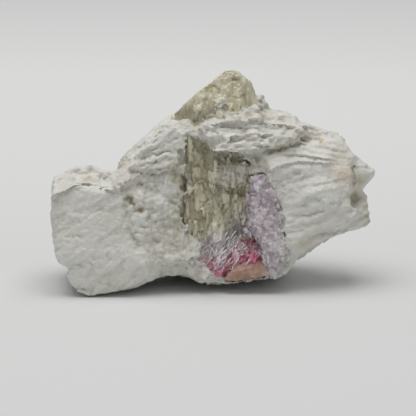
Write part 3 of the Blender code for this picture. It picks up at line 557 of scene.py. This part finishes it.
# the relief of each part of the face, mm: the number before a pattern is its height, those in it its size
skin, facing = skin_of(albite)
front = towards_camera(facing, 0.15, 0.6)
warp = PLATE_WARP * sampled(skin, 7.0)
block = within(skin, BLOCK, soft=2.0)
blades = within(skin, BLADES, soft=1.0)
crust = within(skin, CRUST, soft=1.0)
wedge = within(skin, WEDGE, soft=1.5)
middle = np.clip(1.0 - block - blades - crust - wedge, 0.0, 1.0)
fibres = turned_by(skin, FIBRE_WAY)
coarse = grains(skin, (1.9, 1.5, 1.9), groove=0.3)
fine = grains(skin, (0.9, 0.75, 0.9), groove=0.25, shift=5.0)
cleavage = grains(fibres, (5.0, 1.7, 5.0), groove=0.08, shift=2.0)
relief = block * (0.26 * cleavage + 0.12 * sampled(skin, 1.1) + 0.10 * fine)
relief += middle * (0.34 * coarse + 0.20 * fine + 0.10 * sampled(skin, 0.9))
splints = grains(fibres, (6.5, 1.0, 3.0), groove=0.12, shift=3.0)
relief += blades * (0.30 * splints + 0.16 * sampled(fibres, (3.0, 0.7, 1.5)))
flakes = grains(skin, (3.4, 1.2, 2.6), groove=0.16, shift=8.0)
relief += crust * (0.50 * flakes + 0.20 * fine + 0.10 * sampled(skin, 1.4))
# the plates of the wedge rise to the right below and fall to the right above
rising = skin[:, 1] - PLATE_RISE * skin[:, 0] + warp
falling = skin[:, 1] + PLATE_FALL * skin[:, 0] + warp
upper = ramp(skin[:, 1] - PLATE_BORDER * skin[:, 0], *UPPER_PLATES)
plates = (1.0 - upper) * lamellae(skin, rising, spacing=2.1)
plates += upper * lamellae(skin, falling, spacing=1.7, shift=31.0)
relief += wedge * (0.80 * plates + 0.10 * fine + 0.22 * sampled(skin, 2.5))
skin += facing * relief[:, None]

ridges = np.zeros(len(skin))
for height, fade, line in LEDGES:
    near, side = from_line(skin, line)
    ridges += np.where(side > 0, height * np.exp(-near / fade), 0.0)
stray = np.column_stack((sampled(skin, 1.2), sampled(skin, 1.2, shift=7.0), np.zeros(len(skin))))
bent = skin + stray * WANDER
hollows = furrows(bent, CRACKS) + PIT_SHARE * spots(bent, PITS)
skin[:, 2] += front * (hollows - ridges)
move_skin(albite, skin)
# painted shade with grime: cracks and pits darker the deeper they are, and the grooves between grains darker
# below the skin
crack_dirt_and_shade = np.clip(front * hollows * CRACK_DIRT_AND_SHADE, 0, 1)
set_mask(albite, "hollow", crack_dirt_and_shade + ramp(-relief, *GROOVE_DEPTHS) * GROOVE_SHADE)
broken = np.clip(0.75 + 0.9 * sampled(skin, 1.3), 0.0, 1.3)
for name, places in STAINS.items():
    set_mask(albite, name, spots(skin, places) * broken * ramp(-skin[:, 2], *STAIN_RANGE))
albite.data.shade_smooth()

material, tree, surface = new_material("albite")
position = node(tree, "ShaderNodeTexCoord").outputs["Object"]
speck = node(tree, "ShaderNodeTexNoise", {"Vector": position, "Scale": 1500.0, "Detail": 5.0}).outputs["Fac"]
crumb = node(tree, "ShaderNodeTexVoronoi", {"Vector": position, "Scale": 1100.0}).outputs
colour = placed(tree, mottle, Scale=140.0, Detail=3.0, Contrast=1.6,
                Dark=(0.75, 0.737, 0.675), Light=(0.865, 0.86, 0.82))
colour = blend(tree, maths(tree, "MULTIPLY", crumb["Color"], 0.16), colour, (0.56, 0.55, 0.50))
for name, strength, tint in ALBITE_TINTS:
    colour = blend(tree, mask_of(tree, name, strength), colour, tint)
# the hollows darkened by painted shade tinted like grime
colour = placed(tree, grooves, Colour=colour, Shade=(0.46, 0.43, 0.33), Strength=0.5)
tree.links.new(colour, surface.inputs["Base Color"])
bump = node(tree, "ShaderNodeBump", {"Strength": 0.55, "Distance": 0.0003, "Height": speck})
bump = node(tree, "ShaderNodeBump", {"Strength": 0.45, "Distance": 0.0003, "Height": crumb["Distance"],
                                     "Normal": bump.outputs["Normal"]})
tree.links.new(bump.outputs["Normal"], surface.inputs["Normal"])
surface.inputs["Roughness"].default_value = 0.58
surface.inputs["Subsurface Weight"].default_value = 0.12
surface.inputs["Subsurface Radius"].default_value = (0.0012, 0.001, 0.0008)
albite.data.materials.append(material)
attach(albite, "root")
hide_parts("albite_matrix")

# The tourmaline: one stout crystal, olive green at its tip, grey-blue below the middle and pink at its foot,
# where it breaks into white and lilac needles. It is striated along its length and held by the albite that
# grew round it. Its skin is the frame's crystal, grown a little into that stone.
CRYSTAL_GRAIN = 0.30  # mm
CRYSTAL_GROWTH = 0.85  # mm
CRYSTAL_LEAN = 0.05  # how far it leans to the left for each mm it rises
FOOT_RANGE = (-14.0, -9.0)  # it is all foot below 9 mm and none above 14 mm
TIP_RANGE = (41.0, 46.0)  # the tip begins between these, mm up
TIP_SMOOTHING = 0.72  # how much of the relief the tip is without
CRYSTAL_GROOVES = (0.12, 0.6)  # where the painted shade of its grooves starts and where it is full, mm
NEEDLE_COUNT = 150
NEEDLE_ACROSS = (2.4, 3.6)  # where the needles lie across: the middle and the spread, mm
NEEDLE_UP = (9.4, 2.4)  # and up
NEEDLE_BOUNDS = (-4.5, 11.5, 3.5, 14.0)  # no needle starts left of, right of, below or above these
NEEDLE_LENGTH = (1.0, 2.8)  # mm
NEEDLE_RADIUS = (0.10, 0.24)  # mm
NEEDLE_TAPER = 0.3  # the thin end's share of the thick end
NEEDLE_WAY = (238, 22)  # degrees from the right, pointing down and to the left, and their spread
NEEDLE_TILT = (-0.12, 0.22)  # how far they tip out of the face
NEEDLE_SINK = (-0.1, 0.25)  # how far they lie in the skin, mm
NEEDLE_REACH = 0.4  # the part of the skin that a needle rests on, mm to each side
SPLINTER_WAY = (0.86, -0.5)  # cosine and sine of the way the foot splinters
TORN = 1.5  # how far the colour zones' edges are torn, mm
# dark grooves and overhangs on the crystal's front: depth, width and line
CRYSTAL_LINES = [
    (0.9, 0.5, [(-4.2, 27.3), (1.5, 25.5), (7, 23.5)]),
    (1.0, 0.7, [(-6, 26), (-3.5, 26.5)]),
    (0.5, 0.3, [(2, 22), (3.2, 18.5)]),
    (0.5, 0.3, [(4, 22.4), (4.8, 19)]),
    (0.6, 0.3, [(-8, 20), (-8.2, 15)]),
    (0.7, 0.4, [(3.6, 8.3), (4.6, 6.3)]),
    (0.8, 0.6, [(6.4, 10), (8, 6.8)]),
    (0.7, 0.5, [(9.8, 9.4), (11, 7.5)]),
    (0.5, 0.3, [(4.6, 52), (6, 51.8), (6.6, 50.5), (6.8, 49), (7.8, 46.5), (7.7, 45.3)]),
]
# the crystal's colour zones: soft spots (across, up, width, height, strength) and an outline where it has one
ZONES = {
    # the thin band at 3 mm across and 24.6 mm up is painted shadow under the pale slab's lower edge; the other
    # spots are the crystal's own brown
    "brown_and_shadow": ([(-3.6, 31, 3.0, 6.5, 0.45), (-3, 45.5, 2.5, 2.5, 0.5), (2, 51.5, 5, 2.2, 0.6),
               (-7, 44, 2.5, 1.6, 0.9), (4.5, 47, 2.5, 3, 0.35), (-7.6, 20, 1.2, 7, 0.5),
               (2.6, 20.2, 0.7, 2, 0.8), (-4, 26.4, 2.5, 1.0, 0.8), (-2.5, 16.7, 0.8, 1.6, 0.8),
               (1.8, 46.4, 0.8, 0.6, 0.8), (-1, 46.6, 1.2, 1.4, 0.6), (3.9, 48.5, 0.4, 0.9, 1.0),
               (5.5, 51.6, 1.6, 0.4, 1.0), (6.9, 48.6, 0.4, 2.4, 1.0), (-0.4, 50.3, 0.6, 0.5, 1.0),
               (3, 24.6, 4, 0.7, 0.7)], None),
    "blue": ([(5.8, 14.4, 3.0, 2.6, 1.1), (3.5, 11.8, 1.6, 1.2, 0.5)], None),
    "pale": ([(4.5, 28.6, 4.2, 3.0, 0.30)],
             [(-5, 11.5), (0, 12.6), (3, 11), (6.5, 9.6), (5.5, 6), (1, 5.5), (-4, 7)]),
    "pink": ([], [(-4.2, 7.2), (-1, 8.2), (3, 8.6), (6, 10), (8.4, 12.6), (13, 12.6), (13, 4), (9, 4),
                  (3, 1.5), (-3, 2.5)]),
    "maroon": ([(8.2, 11.6, 1.5, 1.1, 1.2), (7.2, 8.2, 1.1, 1.9, 1.2), (10.6, 8.4, 1.0, 1.2, 1.0),
                (4.1, 7.3, 0.6, 1.1, 0.9), (1.2, 4, 2.4, 0.8, 0.7)], None),
    "needles": ([(0, 9.4, 4.6, 3.0, 0.9), (5, 11.4, 4.0, 1.6, 0.7), (9.5, 10.3, 2.6, 1.0, 0.5),
                 (2, 6, 4.0, 2.0, 0.35)], None),
}
# how each mask of the crystal colours it: mask, strength and colour
CRYSTAL_TINTS = [
    ("brown_and_shadow", 0.6, (0.36, 0.31, 0.17)),
    ("blue", 0.85, (0.33, 0.34, 0.43)),
    ("pale", 0.85, (0.95, 0.91, 0.93)),
    ("pink", 0.95, (0.80, 0.27, 0.42)),
    ("maroon", 0.95, (0.62, 0.075, 0.22)),
]


def needle_on(heap, draw, across, up, into):
    """Lays one tapered needle on the crystal's front."""
    length = draw.uniform(*NEEDLE_LENGTH)
    radius = draw.uniform(*NEEDLE_RADIUS)
    way = math.radians(draw.gauss(*NEEDLE_WAY))
    needle = bmesh.new()
    bmesh.ops.create_cone(needle, cap_ends=True, segments=5, radius1=radius * MM,
                          radius2=NEEDLE_TAPER * radius * MM, depth=length * MM)
    aim = (ACROSS * math.cos(way) + UP * math.sin(way) - INTO * draw.uniform(*NEEDLE_TILT)).normalized()
    turn = Vector((0.0, 0.0, 1.0)).rotation_difference(aim).to_matrix().to_4x4()
    move = Matrix.Translation(place(across, up, into + draw.uniform(*NEEDLE_SINK)))
    bmesh.ops.transform(needle, matrix=move @ turn, verts=needle.verts[:])
    add_to(heap, needle)


crystal = object_from(grown_copy("tourmaline_crystal", CRYSTAL_GROWTH), "tourmaline")
fuse(crystal, CRYSTAL_GRAIN)
skin, facing = skin_of(crystal)
front = towards_camera(facing, 0.1, 0.5)
foot = ramp(-skin[:, 1], *FOOT_RANGE)
tip = ramp(skin[:, 1], *TIP_RANGE)
# the striations run along the leaning crystal
length_way = np.column_stack((skin[:, 0] + CRYSTAL_LEAN * skin[:, 1], skin[:, 1], skin[:, 2]))
slanted = turned_by(skin, SPLINTER_WAY)
splinters = grains(length_way, (1.5, 6.0, 2.4), groove=0.14)
striae = sampled(length_way, (0.35, 6.0, 0.8))
relief = (1.0 - foot) * (0.85 * splinters + 0.14 * striae)
relief += (1.0 - foot) * 0.45 * grains(length_way, (0.8, 2.4, 1.4), groove=0.14, shift=4.0)
shivers = grains(slanted, (0.8, 3.2, 1.4), groove=0.25, shift=9.0)
relief += foot * (0.70 * shivers + 0.12 * sampled(slanted, (0.3, 3.0, 0.8)))
relief *= 1.0 - TIP_SMOOTHING * tip
skin += facing * relief[:, None]
skin[:, 2] += front * furrows(skin, CRYSTAL_LINES)
move_skin(crystal, skin)

# the needles over the blue and pink foot
heap = bmesh.new()
heap.from_mesh(crystal.data)
body_faces = len(crystal.data.polygons)
left, right, low, high = NEEDLE_BOUNDS
draw = random.Random(11)
for _ in range(NEEDLE_COUNT):
    across = draw.gauss(*NEEDLE_ACROSS)
    up = draw.gauss(*NEEDLE_UP)
    close = (abs(skin[:, 0] - across) < NEEDLE_REACH) & (abs(skin[:, 1] - up) < NEEDLE_REACH)
    if left < across < right and low < up < high and close.any():
        needle_on(heap, draw, across, up, skin[close, 2].min())
heap.to_mesh(crystal.data)
heap.free()
skin, _ = skin_of(crystal)
# the needles' points come after the body's, and have no hollows
relief = np.append(relief, np.ones(len(skin) - len(relief)))
slanted = turned_by(skin, SPLINTER_WAY)
tearing = np.column_stack((sampled(slanted, (1.1, 3.5, 2.0)), sampled(slanted, (1.2, 3.5, 2.0), shift=9.0),
                           np.zeros(len(skin))))
torn = skin + TORN * tearing
for name, (places, outline) in ZONES.items():
    zone = spots(torn, places)
    if outline:
        zone = zone + within(torn, outline, soft=0.9)
    set_mask(crystal, name, zone)
# painted shade in the grooves between the splinters
set_mask(crystal, "hollow", ramp(-relief, *CRYSTAL_GROOVES))
crystal.data.shade_smooth()

material, tree, surface = new_material("tourmaline")
position = node(tree, "ShaderNodeTexCoord").outputs["Object"]
drawn = node(tree, "ShaderNodeMapping", {"Vector": position, "Rotation": (0.0, -CRYSTAL_LEAN, 0.0),
                                         "Scale": (1.0, 1.0, 0.16)}).outputs[0]
stripe = node(tree, "ShaderNodeTexNoise", {"Vector": drawn, "Scale": 1400.0, "Detail": 4.0}).outputs["Fac"]
shard = node(tree, "ShaderNodeTexVoronoi", {"Vector": drawn, "Scale": 900.0}).outputs
colour = placed(tree, mottle, Scale=300.0, Detail=4.0, Contrast=3.2,
                Dark=(0.52, 0.475, 0.28), Light=(0.86, 0.82, 0.63))
colour = blend(tree, maths(tree, "MULTIPLY", shard["Color"], 0.45), colour, (0.90, 0.88, 0.76))
for name, strength, tint in CRYSTAL_TINTS:
    colour = blend(tree, mask_of(tree, name, strength), colour, tint)
white = maths(tree, "MULTIPLY", mask_of(tree, "needles", 1.0),
              maths(tree, "MULTIPLY_ADD", stripe, 5.0, -2.0, clamp=True))
colour = blend(tree, white, colour, (0.90, 0.86, 0.88))
# the grooves darkened by painted shade
colour = placed(tree, grooves, Colour=colour, Shade=(0.24, 0.19, 0.11), Strength=0.4)
tree.links.new(colour, surface.inputs["Base Color"])
bump = node(tree, "ShaderNodeBump", {"Strength": 0.6, "Distance": 0.0003, "Height": stripe})
bump = node(tree, "ShaderNodeBump", {"Strength": 0.5, "Distance": 0.0004, "Height": shard["Distance"],
                                     "Normal": bump.outputs["Normal"]})
tree.links.new(bump.outputs["Normal"], surface.inputs["Normal"])
surface.inputs["Roughness"].default_value = 0.24
surface.inputs["IOR"].default_value = 1.63
surface.inputs["Coat Weight"].default_value = 0.25
surface.inputs["Coat Roughness"].default_value = 0.12
crystal.data.materials.append(material)
material, tree, surface = new_material("white_needles")
colour = placed(tree, mottle, Scale=500.0, Detail=3.0, Contrast=3.5,
                Dark=(0.86, 0.74, 0.80), Light=(0.95, 0.94, 0.95))
tree.links.new(colour, surface.inputs["Base Color"])
surface.inputs["Roughness"].default_value = 0.2
crystal.data.materials.append(material)
for face in crystal.data.polygons[body_faces:]:
    face.material_index = 1
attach(crystal, "root")
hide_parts("tourmaline_crystal")

# The lepidolite seam: a strip of fine lilac mica grains that grew along the crystal's right flank. Its
# flakes lie at all angles. It merges into the albite at its right edge, which holds it, and frays over the
# crystal at its left.
SEAM_GRAIN = 0.22  # mm
SEAM_GROWTH = 1.2  # mm
SEAM_FRAYED = [
    ([(9.6, 27), (8.7, 22), (8.6, 15), (11.5, 11.5), (12.6, 6)], -9.2),
    ([(12, 20), (13, 10)], -9.4),
]
SEAM_GROOVES = (0.05, 0.6)  # where the painted shade of its grooves starts and where it is full, mm
SEAM_FADE = (14.2, 17.4)  # the seam whitens into the albite between these, mm across
heap = grown_copy("lepidolite_seam", SEAM_GROWTH)
fray(heap, SEAM_FRAYED, random.Random(3), count=2.2, sizes=(0.5, 1.2))
seam = object_from(heap, "lepidolite")
fuse(seam, SEAM_GRAIN)
keep_joined(seam)
skin, facing = skin_of(seam)
mica = grains(skin, 1.0, groove=0.18, shift=2.0)
clumps = grains(skin, (1.9, 2.4, 1.9), groove=0.15, shift=6.0)
relief = 0.30 * mica + 0.28 * clumps + 0.3 * sampled(skin, 3.5)
move_skin(seam, skin + facing * relief[:, None])
# painted shade in the grooves between the mica grains
set_mask(seam, "hollow", ramp(-relief, *SEAM_GROOVES))
set_mask(seam, "white", ramp(skin[:, 0] + 1.6 * sampled(skin, 1.6), *SEAM_FADE))
seam.data.shade_smooth()

material, tree, surface = new_material("lepidolite")
position = node(tree, "ShaderNodeTexCoord").outputs["Object"]
flake = node(tree, "ShaderNodeTexVoronoi", {"Vector": position, "Scale": 1300.0}).outputs["Color"]
colour = placed(tree, mottle, Scale=420.0, Detail=3.0, Contrast=3.0,
                Dark=(0.62, 0.50, 0.57), Light=(0.80, 0.75, 0.765))
colour = blend(tree, maths(tree, "MULTIPLY", flake, 0.45), colour, (0.86, 0.82, 0.84))
colour = blend(tree, mask_of(tree, "white", 0.85), colour, (0.82, 0.81, 0.77))
# the grooves darkened by painted shade
colour = placed(tree, grooves, Colour=colour, Shade=(0.36, 0.29, 0.32), Strength=0.5)
tree.links.new(colour, surface.inputs["Base Color"])
bump = node(tree, "ShaderNodeBump", {"Strength": 0.8, "Distance": 0.0004, "Height": flake})
tree.links.new(bump.outputs["Normal"], surface.inputs["Normal"])
surface.inputs["Roughness"].default_value = 0.32
seam.data.materials.append(material)
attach(seam, "root")
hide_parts("lepidolite_seam")

# The peach feldspar: one cleaved slab under the pink foot of the crystal, satin on its faces and fairly
# crisp at its edges. It is held by the stone round it, and pales to the right and at its lower rim.
SLAB_GRAIN = 0.16  # mm
SLAB_GROWTH = 0.35  # mm
SLAB_FADE = (11.6, 14.2)  # the slab pales between these, mm across
SLAB_RIM = (-2.4, -1.4)  # its rim pales from 2.4 down to 1.4 mm up the face
slab = object_from(grown_copy("peach_feldspar", SLAB_GROWTH), "peach_feldspar_slab")
fuse(slab, SLAB_GRAIN)
skin, facing = skin_of(slab)
steps = grains(skin, (2.6, 1.0, 2.0), groove=0.12, shift=1.0)
relief = 0.16 * steps + 0.12 * sampled(skin, 1.6) + 0.05 * sampled(skin, 0.6)
move_skin(slab, skin + facing * relief[:, None])
# painted shade: darker clouds kept to the faces toward the camera, so the slab's front is darker than its top
set_mask(slab, "dark", np.clip(sampled(skin, 1.7) * 2.0, 0, 1) * towards_camera(facing, 0.3, 0.8))
set_mask(slab, "white", ramp(skin[:, 0] + sampled(skin, 1.5), *SLAB_FADE) + ramp(-skin[:, 1], *SLAB_RIM))
slab.data.shade_smooth()

material, tree, surface = new_material("peach_feldspar")
position = node(tree, "ShaderNodeTexCoord").outputs["Object"]
clouds = node(tree, "ShaderNodeTexNoise", {"Vector": position, "Scale": 450.0, "Detail": 4.0}).outputs["Fac"]
colour = placed(tree, mottle, Scale=450.0, Detail=4.0, Contrast=3.0,
                Dark=(0.36, 0.21, 0.155), Light=(0.60, 0.39, 0.31))
# the front's painted shade
colour = blend(tree, mask_of(tree, "dark", 0.5), colour, (0.36, 0.22, 0.16))
colour = blend(tree, mask_of(tree, "white", 0.7), colour, (0.72, 0.66, 0.60))
tree.links.new(colour, surface.inputs["Base Color"])
bump = node(tree, "ShaderNodeBump", {"Strength": 0.4, "Distance": 0.0002, "Height": clouds})
tree.links.new(bump.outputs["Normal"], surface.inputs["Normal"])
surface.inputs["Roughness"].default_value = 0.42
slab.data.materials.append(material)
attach(slab, "root")
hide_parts("peach_feldspar")
